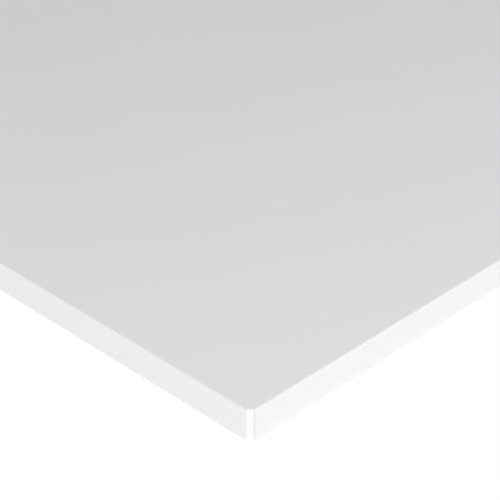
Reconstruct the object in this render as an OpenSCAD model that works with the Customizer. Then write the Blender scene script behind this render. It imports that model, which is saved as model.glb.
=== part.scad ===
// Lay-in metal ceiling tile: one coated steel sheet with its four sides folded down into
// a shallow tray. The corners are left open, so each flange ends short of its neighbours.
//
// The tile lies with its visible face up, on the free edges of its flanges. The origin is
// the centre of the tile at the level of those edges, and +Z points out of the face.

/* [Tile] */
// Outside length along X, over the flanges
tile_length = 595; // [295:1:1195]
// Outside width along Y, over the flanges
tile_width = 595; // [295:1:1195]
// Height of the tile, from the flanges' free edges to the visible face
flange_height = 15; // [8:0.5:40]

/* [Sheet] */
// Thickness of the sheet with its coating
sheet_thickness = 0.8; // [0.4:0.05:1.2]
// Radius inside each bend
bend_inside_radius = 0.3; // [0.2:0.1:2]

/* [Corners] */
// Leg of the 45 degree cut across each corner of the flat face
corner_cut = 2.0; // [0.5:0.1:8]

/* [Hidden] */
$fn = 96;
bend_outside_radius = bend_inside_radius + sheet_thickness;
// Each flange starts and ends where the corner cut meets its bend line.
flange_end_setback = bend_outside_radius + corner_cut;
flange_leg = flange_height - bend_outside_radius;

// Flat visible face between the four bend lines, with its corners cut off.
module face_sheet() {
    bend_x = tile_length / 2 - bend_outside_radius;
    bend_y = tile_width / 2 - bend_outside_radius;
    end_x = tile_length / 2 - flange_end_setback;
    end_y = tile_width / 2 - flange_end_setback;
    translate([0, 0, flange_height - sheet_thickness])
        linear_extrude(sheet_thickness)
            polygon([
                [bend_x, -end_y], [bend_x, end_y], [end_x, bend_y], [-end_x, bend_y],
                [-bend_x, end_y], [-bend_x, -end_y], [-end_x, -bend_y], [end_x, -bend_y]
            ]);
}

// Section of one bend and flange: X runs outwards from the bend line, Y is the height.
module flange_section() {
    translate([0, flange_leg])
        intersection() {
            difference() {
                circle(r = bend_outside_radius);
                circle(r = bend_inside_radius);
            }
            square(bend_outside_radius);
        }
    translate([bend_inside_radius, 0])
        square([sheet_thickness, flange_leg]);
}

// One bend and flange, on the +X side of a tile whose outside size in X is span.
// It runs along Y over side, the tile's outside size in Y.
module flange(span, side) {
    run = side - 2 * flange_end_setback;
    translate([span / 2 - bend_outside_radius, run / 2, 0])
        rotate([90, 0, 0])
            linear_extrude(run)
                flange_section();
}

// The whole sheet, folded: the face and its four flanges are one piece of metal.
module ceiling_tile() {
    color("whitesmoke")
        union() {
            face_sheet();
            for (turn = [0, 180]) {
                rotate(turn) flange(tile_length, tile_width);
                rotate(turn + 90) flange(tile_width, tile_length);
            }
        }
}

ceiling_tile();
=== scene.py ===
import math
import bmesh
import bpy
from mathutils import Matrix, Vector


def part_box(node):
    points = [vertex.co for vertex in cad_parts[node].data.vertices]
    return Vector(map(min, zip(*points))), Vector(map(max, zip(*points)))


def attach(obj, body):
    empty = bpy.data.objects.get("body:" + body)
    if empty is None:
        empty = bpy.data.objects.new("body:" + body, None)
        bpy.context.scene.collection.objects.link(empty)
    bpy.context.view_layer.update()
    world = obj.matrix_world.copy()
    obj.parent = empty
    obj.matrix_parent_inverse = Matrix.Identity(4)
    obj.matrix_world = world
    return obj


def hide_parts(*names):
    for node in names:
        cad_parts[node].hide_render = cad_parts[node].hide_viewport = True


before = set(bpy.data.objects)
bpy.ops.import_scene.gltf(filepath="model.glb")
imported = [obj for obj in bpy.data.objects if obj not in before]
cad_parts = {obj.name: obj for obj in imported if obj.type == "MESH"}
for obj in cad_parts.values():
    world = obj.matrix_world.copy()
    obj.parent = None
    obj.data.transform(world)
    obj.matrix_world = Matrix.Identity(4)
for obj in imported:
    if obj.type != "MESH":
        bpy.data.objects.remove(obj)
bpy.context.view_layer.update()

# Metres throughout. The tile lies face up, centred on the origin, on its flanges' edges.
tileLow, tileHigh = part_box("ceiling_tile")
halfLength = tileHigh.x
halfWidth = tileHigh.y
faceHeight = tileHigh.z
print("frame loaded, tile is", [round(v, 4) for v in tileHigh - tileLow])


# small helpers

def linearColour(hexCode):
    # "#rrggbb" as picked on screen -> linear RGBA for a shader socket
    channels = [int(hexCode[i:i + 2], 16) / 255 for i in (1, 3, 5)]
    linear = [c / 12.92 if c <= 0.04045 else ((c + 0.055) / 1.055) ** 2.4 for c in channels]
    return (*linear, 1.0)


def addNode(tree, kind, settings=None, links=None):
    # settings are node properties or socket values, links are sockets to feed from
    node = tree.nodes.new(kind)
    for name, value in (settings or {}).items():
        if isinstance(name, str) and hasattr(node, name):
            setattr(node, name, value)
        else:
            node.inputs[name].default_value = value
    for name, output in (links or {}).items():
        tree.links.new(output, node.inputs[name])
    return node


def startMaterial(name):
    material = bpy.data.materials.new(name)
    material.use_nodes = True
    material.node_tree.nodes.clear()
    return material, material.node_tree


def spreadNoise(tree, place, size, low, high):
    # noise with blobs of about this size in metres, stretched to run from low to high
    noiseLow, noiseHigh = 0.3, 0.7    # nearly all of its values lie between these
    noise = addNode(tree, "ShaderNodeTexNoise", {"Scale": 1 / size}, {"Vector": place})
    spread = addNode(tree, "ShaderNodeMapRange",
                     {"From Min": noiseLow, "From Max": noiseHigh,
                      "To Min": low, "To Max": high},
                     {"Value": noise.outputs["Fac"]})
    return spread.outputs["Result"]


def selectVertices(piece, wanted):
    # in edit mode: only the vertices wanted, with the edges that join two of them
    bpy.ops.mesh.select_mode(type="VERT")
    bpy.ops.mesh.select_all(action="DESELECT")
    mesh = bmesh.from_edit_mesh(piece.data)
    for vertex in mesh.verts:
        vertex.select = wanted(vertex.co)
    mesh.select_flush_mode()
    bmesh.update_edit_mesh(piece.data)


# finishes

powder = {
    "colour": "#EEEEEE",         # plain ceiling white
    "thinColour": "#EDEDED",     # where the film went on a little thinner
    "filmPatch": 0.11,           # m, slow drift of the film's thickness
    "sheenPatches": 3,           # patches of sheen across one such patch
    "roughness": (0.40, 0.46),   # satin, 20 to 30 gloss units
    "ior": 1.5,                  # clear polyester resin
    "peelSize": 0.0028,          # m from crest to crest of the levelled film
    "peelDepth": 0.000006,       # m
    "grainSize": 0.0007,         # m, the finer tooth of the film
    "grainStrength": 0.15,       # against the peel
}


def makePowderCoat():
    # Polyester powder coat, sprayed on and stoved. It levels into an even satin white
    # whose faint orange peel softens what the face reflects.
    material, tree = startMaterial("satinPowderCoat")
    place = addNode(tree, "ShaderNodeTexCoord").outputs["Object"]
    film = spreadNoise(tree, place, powder["filmPatch"], 0, 1)
    colour = addNode(tree, "ShaderNodeMix",
                     {"data_type": "RGBA", "A": linearColour(powder["thinColour"]),
                      "B": linearColour(powder["colour"])},
                     {"Factor": film})
    roughness = spreadNoise(tree, place, powder["filmPatch"] / powder["sheenPatches"],
                            *powder["roughness"])
    grain = spreadNoise(tree, place, powder["grainSize"], 0, 1)
    tooth = addNode(tree, "ShaderNodeBump",
                    {"Strength": powder["grainStrength"], "Distance": powder["peelDepth"]},
                    {"Height": grain})
    peel = spreadNoise(tree, place, powder["peelSize"], 0, 1)
    bump = addNode(tree, "ShaderNodeBump", {"Strength": 1.0, "Distance": powder["peelDepth"]},
                   {"Height": peel, "Normal": tooth.outputs["Normal"]})
    surface = addNode(tree, "ShaderNodeBsdfPrincipled", {"IOR": powder["ior"]},
                      {"Base Color": colour.outputs["Result"], "Roughness": roughness,
                       "Normal": bump.outputs["Normal"]})
    addNode(tree, "ShaderNodeOutputMaterial", links={"Surface": surface.outputs["BSDF"]})
    return material


cutEdge = {
    "colour": "#E9E9E8",     # thinner white over the steel
    "roughness": 0.55,
    "markSize": 0.0004,      # m between shear marks, coarser than real so that they show
    "markDepth": 0.00001,    # m
}


def makeCoatedCutEdge():
    # The same powder over a guillotined edge: it draws back from the corners, so the
    # edge is a touch greyer and duller, and the shear marks still show.
    material, tree = startMaterial("coatedCutEdge")
    place = addNode(tree, "ShaderNodeTexCoord").outputs["Object"]
    marks = spreadNoise(tree, place, cutEdge["markSize"], 0, 1)
    bump = addNode(tree, "ShaderNodeBump", {"Strength": 1.0, "Distance": cutEdge["markDepth"]},
                   {"Height": marks})
    surface = addNode(tree, "ShaderNodeBsdfPrincipled",
                      {"Base Color": linearColour(cutEdge["colour"]), "IOR": powder["ior"],
                       "Roughness": cutEdge["roughness"]},
                      {"Normal": bump.outputs["Normal"]})
    addNode(tree, "ShaderNodeOutputMaterial", links={"Surface": surface.outputs["BSDF"]})
    return material


back = {
    "spangle": ("#AEB1B3", "#C2C4C5"),  # the darkest zinc crystals and the palest
    "spangleSize": 0.006,       # m across one crystal
    "roughness": (0.34, 0.5),
    "mistReach": 0.03,          # m that stray powder drifts in from the flanges
    "mistCover": (0.75, -0.25),  # its cover at a flange and past that reach
    "mistSpeck": 0.0012,        # m across one speck
    "mistScatter": 0.35,        # how far the specks break that cover up
    "mistRoughness": 0.6,
}


def makeGalvanisedBack():
    # Hot-dip galvanised strip, left bare behind the tile: matt grey zinc in small
    # crystals, with a mist of stray powder beside the flanges.
    material, tree = startMaterial("galvanisedBack")
    place = addNode(tree, "ShaderNodeTexCoord").outputs["Object"]
    crystals = addNode(tree, "ShaderNodeTexVoronoi", {"Scale": 1 / back["spangleSize"]},
                       {"Vector": place})
    shade = addNode(tree, "ShaderNodeSeparateColor", links={"Color": crystals.outputs["Color"]})
    zinc = addNode(tree, "ShaderNodeMix",
                   {"data_type": "RGBA", "A": linearColour(back["spangle"][0]),
                    "B": linearColour(back["spangle"][1])},
                   {"Factor": shade.outputs["Red"]})
    zincRoughness = addNode(tree, "ShaderNodeMapRange",
                            {"To Min": back["roughness"][0], "To Max": back["roughness"][1]},
                            {"Value": shade.outputs["Green"]})

    # the mist, by the distance to the nearest side
    axes = addNode(tree, "ShaderNodeSeparateXYZ", links={"Vector": place})
    insets = []
    for axis, half in (("X", halfLength), ("Y", halfWidth)):
        fromMiddle = addNode(tree, "ShaderNodeMath", {"operation": "ABSOLUTE"},
                             {0: axes.outputs[axis]})
        inset = addNode(tree, "ShaderNodeMath", {"operation": "SUBTRACT", 0: half},
                        {1: fromMiddle.outputs["Value"]})
        insets.append(inset.outputs["Value"])
    nearest = addNode(tree, "ShaderNodeMath", {"operation": "MINIMUM"},
                      {0: insets[0], 1: insets[1]})
    cover = addNode(tree, "ShaderNodeMapRange",
                    {"From Min": 0.0, "From Max": back["mistReach"],
                     "To Min": back["mistCover"][0], "To Max": back["mistCover"][1]},
                    {"Value": nearest.outputs["Value"]})
    specks = spreadNoise(tree, place, back["mistSpeck"], -back["mistScatter"],
                         back["mistScatter"])
    mist = addNode(tree, "ShaderNodeMath", {"operation": "ADD", "use_clamp": True},
                   {0: cover.outputs["Result"], 1: specks})

    colour = addNode(tree, "ShaderNodeMix",
                     {"data_type": "RGBA", "B": linearColour(powder["thinColour"])},
                     {"Factor": mist.outputs["Value"], "A": zinc.outputs["Result"]})
    bareMetal = addNode(tree, "ShaderNodeMath", {"operation": "SUBTRACT", 0: 1.0},
                        {1: mist.outputs["Value"]})
    roughness = addNode(tree, "ShaderNodeMix",
                        {"data_type": "FLOAT", "B": back["mistRoughness"]},
                        {"Factor": mist.outputs["Value"],
                         "A": zincRoughness.outputs["Result"]})
    surface = addNode(tree, "ShaderNodeBsdfPrincipled", None,
                      {"Base Color": colour.outputs["Result"],
                       "Metallic": bareMetal.outputs["Value"],
                       "Roughness": roughness.outputs["Result"]})
    addNode(tree, "ShaderNodeOutputMaterial", links={"Surface": surface.outputs["BSDF"]})
    return material


finishes = {"face": makePowderCoat(), "back": makeGalvanisedBack(),
            "cutEdge": makeCoatedCutEdge()}    # in the order of the tile's material slots
finishNames = list(finishes)
print("finishes made:", finishNames)


# the folded sheet

sheet = {
    "thickness": 0.0008,
    "bendInside": 0.0003,    # inside radius of each bend
    "cornerCut": 0.0020,     # leg of the cut across each corner of the face
    "cells": 24,             # squares along each side of the face
    "bendSteps": 10,
    "flangeSteps": 2,
    "edgeRound": 0.00008,    # the coat rounds every cut edge by this much
    "edgeRoundSteps": 2,
    "roundPast": 50,         # degrees, and only where two faces meet more sharply
}


def makeFoldedSheet():
    bendOutside = sheet["bendInside"] + sheet["thickness"]
    flangeLeg = faceHeight - bendOutside
    bendX = halfLength - bendOutside
    bendY = halfWidth - bendOutside
    slack = 1e-6    # m, for picking vertices by their place

    # a grid from -1 to 1, scaled to end at the four bend lines
    bpy.ops.object.select_all(action="DESELECT")
    bpy.ops.mesh.primitive_grid_add(x_subdivisions=sheet["cells"], y_subdivisions=sheet["cells"],
                                    size=2, location=(0, 0, faceHeight))
    tile = bpy.context.object
    tile.name = "folded_sheet"
    bpy.ops.transform.resize(value=(bendX, bendY, 1))
    bpy.ops.object.transform_apply(location=True, rotation=True, scale=True)
    bpy.ops.object.mode_set(mode="EDIT")

    # cut the four corners off the face
    selectVertices(tile, lambda co: abs(co.x) > bendX - slack and abs(co.y) > bendY - slack)
    bpy.ops.mesh.bevel(offset=sheet["cornerCut"], segments=1, affect="VERTICES")

    # fold each side down: a quarter turn round its bend line, then the straight flange
    up = Vector((0, 0, 1))
    drop = -up * flangeLeg / sheet["flangeSteps"]
    for x, y in ((1, 0), (-1, 0), (0, 1), (0, -1)):
        outward = Vector((x, y, 0))
        reach = bendX if x else bendY
        selectVertices(tile, lambda co: co.dot(outward) > reach - slack
                       and co.z > faceHeight - slack)
        bpy.ops.mesh.spin(steps=sheet["bendSteps"], angle=math.pi / 2,
                          center=outward * reach + up * flangeLeg, axis=outward.cross(up))
        for _ in range(sheet["flangeSteps"]):
            bpy.ops.mesh.extrude_region_move(TRANSFORM_OT_translate={"value": drop})
    bpy.ops.mesh.select_all(action="SELECT")
    bpy.ops.mesh.remove_doubles(threshold=slack)
    bpy.ops.mesh.normals_make_consistent(inside=False)
    bpy.ops.object.mode_set(mode="OBJECT")
    return tile


def giveThickness(tile):
    wall = tile.modifiers.new("wall", "SOLIDIFY")
    wall.thickness = sheet["thickness"]
    wall.offset = -1    # inwards, so that the face stays where it is
    wall.use_even_offset = True
    wall.material_offset = finishNames.index("back")
    wall.material_offset_rim = finishNames.index("cutEdge")
    rounding = tile.modifiers.new("rounding", "BEVEL")
    rounding.width = sheet["edgeRound"]
    rounding.segments = sheet["edgeRoundSteps"]
    rounding.limit_method = "ANGLE"
    rounding.angle_limit = math.radians(sheet["roundPast"])
    bpy.context.view_layer.objects.active = tile
    bpy.ops.object.shade_smooth()
    normals = tile.modifiers.new("normals", "WEIGHTED_NORMAL")
    normals.keep_sharp = False
    for modifier in list(tile.modifiers):
        bpy.ops.object.modifier_apply(modifier=modifier.name)


tile = makeFoldedSheet()
for finish in finishes.values():
    tile.data.materials.append(finish)
giveThickness(tile)
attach(tile, "root")
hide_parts("ceiling_tile")
print("folded sheet made:", len(tile.data.polygons), "faces")


# floor, light and camera

studio = {
    "floorColour": "#EAEAEA",
    "floorGlow": 1.03,       # strength of the white that the camera sees
    "glowShare": (0.93, 1),  # near the tile the rest is the lit floor, with its shadow
    "glowReach": (1, 4),     # m from the tile's middle, where that share starts and ends
    "floorSize": 60,         # m
    "floorGap": 0.00005,     # m below the tile, so that the two never meet
    "skyLight": 0.45,        # even light from all round
    "skyColour": "#FFFFFF",
}


def seenRays(tree):
    # 1 for what the camera sees, straight or in a reflection or through glass
    rays = addNode(tree, "ShaderNodeLightPath")
    seen = addNode(tree, "ShaderNodeMath", {"operation": "ADD", "use_clamp": True},
                   {0: rays.outputs["Is Camera Ray"], 1: rays.outputs["Is Glossy Ray"]})
    through = addNode(tree, "ShaderNodeMath", {"operation": "ADD", "use_clamp": True},
                      {0: seen.outputs["Value"], 1: rays.outputs["Is Transmission Ray"]})
    return through.outputs["Value"]


def makeFloor():
    bpy.ops.object.select_all(action="DESELECT")
    bpy.ops.mesh.primitive_plane_add(size=studio["floorSize"],
                                     location=(0, 0, tileLow.z - studio["floorGap"]))
    floor = bpy.context.object
    floor.name = "floor"
    material, tree = startMaterial("paleFloor")
    lit = addNode(tree, "ShaderNodeBsdfDiffuse", {"Color": linearColour(studio["floorColour"])})
    glow = addNode(tree, "ShaderNodeEmission", {"Strength": studio["floorGlow"]})
    place = addNode(tree, "ShaderNodeTexCoord").outputs["Object"]
    away = addNode(tree, "ShaderNodeVectorMath", {"operation": "LENGTH"}, {0: place})
    glowing = addNode(tree, "ShaderNodeMapRange",
                      {"interpolation_type": "SMOOTHSTEP",
                       "From Min": studio["glowReach"][0], "From Max": studio["glowReach"][1],
                       "To Min": studio["glowShare"][0], "To Max": studio["glowShare"][1]},
                      {"Value": away.outputs["Value"]})
    share = addNode(tree, "ShaderNodeMath", {"operation": "MULTIPLY"},
                    {0: seenRays(tree), 1: glowing.outputs["Result"]})
    mixed = addNode(tree, "ShaderNodeMixShader", None,
                    {0: share.outputs["Value"], 1: lit.outputs["BSDF"],
                     2: glow.outputs["Emission"]})
    addNode(tree, "ShaderNodeOutputMaterial", links={"Surface": mixed.outputs["Shader"]})
    floor.data.materials.append(material)


def makeSky():
    world = bpy.data.worlds.new("studioSky")
    bpy.context.scene.world = world
    world.use_nodes = True
    tree = world.node_tree
    tree.nodes.clear()
    ambient = addNode(tree, "ShaderNodeBackground",
                      {"Color": linearColour(studio["skyColour"]),
                       "Strength": studio["skyLight"]})
    # the camera and the reflections see it at a strength of 1, which is white
    backdrop = addNode(tree, "ShaderNodeBackground",
                       {"Color": linearColour(studio["skyColour"]), "Strength": 1.0})
    mixed = addNode(tree, "ShaderNodeMixShader", None,
                    {0: seenRays(tree), 1: ambient.outputs["Background"],
                     2: backdrop.outputs["Background"]})
    addNode(tree, "ShaderNodeOutputWorld", links={"Surface": mixed.outputs["Shader"]})


def towards(azimuth, elevation):
    # unit vector from the tile towards that azimuth (0 is -Y, 90 is +X) and elevation
    turn, rise = math.radians(azimuth), math.radians(elevation)
    return Vector((math.sin(turn) * math.cos(rise), -math.cos(turn) * math.cos(rise),
                   math.sin(rise)))


softboxes = {    # aimed at the near corner: degrees, metres and watts
    "rightSoftbox": {"azimuth": 95, "elevation": 32, "distance": 1.2,
                     "width": 1.0, "height": 1.2, "power": 9.6},
    "leftSoftbox": {"azimuth": 0, "elevation": 15, "distance": 1.0,
                    "width": 1.0, "height": 0.5, "power": 4.75},
}


def addSoftbox(name, box, aim):
    direction = towards(box["azimuth"], box["elevation"])
    bpy.ops.object.light_add(type="AREA", location=aim + direction * box["distance"])
    light = bpy.context.object
    light.name = name
    light.rotation_mode = "QUATERNION"
    light.rotation_quaternion = direction.to_track_quat("Z", "Y")
    light.data.shape = "RECTANGLE"
    light.data.size = box["width"]
    light.data.size_y = box["height"]
    light.data.energy = box["power"]
    light.visible_camera = False
    light.visible_glossy = False  # the satin white mirrors the even studio instead


view = {
    "azimuth": 44.69,        # degrees, nearly along the tile's diagonal
    "elevation": 31.04,
    "lens": 113.8,           # mm
    "sensorWidth": 36,       # mm
    "distance": 0.7528,      # m from the point it looks at
    "aimInset": 0.1289,      # m in from the near corner, away from the camera
    "clipStart": 0.01,       # m
}


def addCamera(nearCorner):
    aim = nearCorner - towards(view["azimuth"], 0) * view["aimInset"]
    direction = towards(view["azimuth"], view["elevation"])
    bpy.ops.object.camera_add(location=aim + direction * view["distance"])
    camera = bpy.context.object
    camera.name = "camera"
    camera.rotation_mode = "QUATERNION"
    camera.rotation_quaternion = direction.to_track_quat("Z", "Y")
    camera.data.lens = view["lens"]
    camera.data.sensor_width = view["sensorWidth"]
    camera.data.clip_start = view["clipStart"]
    bpy.context.scene.camera = camera


nearCorner = Vector((halfLength, -halfWidth, faceHeight))
makeFloor()
makeSky()
for name, box in softboxes.items():
    addSoftbox(name, box, nearCorner)
addCamera(nearCorner)
bpy.context.scene.view_settings.view_transform = "Standard"
print("studio made")
